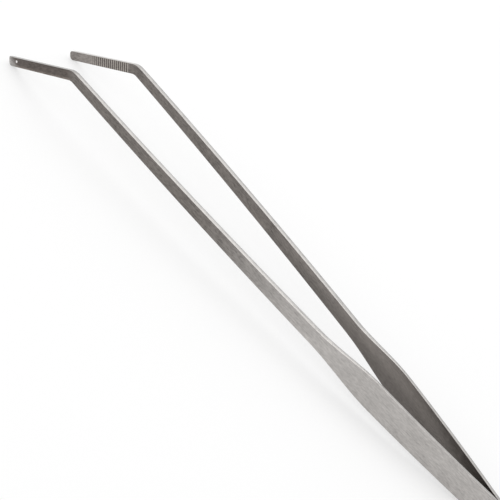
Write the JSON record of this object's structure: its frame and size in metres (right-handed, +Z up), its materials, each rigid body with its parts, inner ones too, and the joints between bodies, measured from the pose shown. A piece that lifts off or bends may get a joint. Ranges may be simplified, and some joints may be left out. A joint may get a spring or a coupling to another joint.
{
  "type": "aquascaping tweezers",
  "caption": "Long sprung tweezers whose bowed steel blades, welded at the tail, close angled serrated jaws when the grip is squeezed.",
  "frame": {"origin": "bottom centre of the bounding box, on the surface that the butt and the two jaw ends rest on", "axes": "+X from the butt towards the jaws, +Y towards the left blade, the way in which the blades open and close, +Z up"},
  "size_m": [0.2706, 0.0312, 0.0195],
  "materials": {
    "blade_steel": "brushed along the blade, edges tumbled brighter",
    "weld_steel": "fused steel, hidden between the tails"
  },
  "bodies": {
    "tail": {"left_tail": "blade_steel", "right_tail": "blade_steel", "spot_welds": "weld_steel"},
    "left_blade": {"left_arm": "blade_steel"},
    "right_blade": {"right_arm": "blade_steel"}
  },
  "joints": [
    {"name": "left_flex", "type": "hinge", "parent": "tail", "child": "left_blade", "pos_m": [-0.0953, 0.00322, 0.00663], "axis": [0.0569, 0, -0.9984], "range_deg": [0, 3.33], "stiffness_Nm_per_rad": 6},
    {"name": "right_flex", "type": "hinge", "parent": "tail", "child": "right_blade", "pos_m": [-0.0953, -0.00322, 0.00663], "axis": [-0.0569, 0, 0.9984], "range_deg": [0, 3.33], "stiffness_Nm_per_rad": 6}
  ],
  "couplings": [
    {"joint": "right_flex", "follows": "left_flex", "ratio": 1}
  ]
}
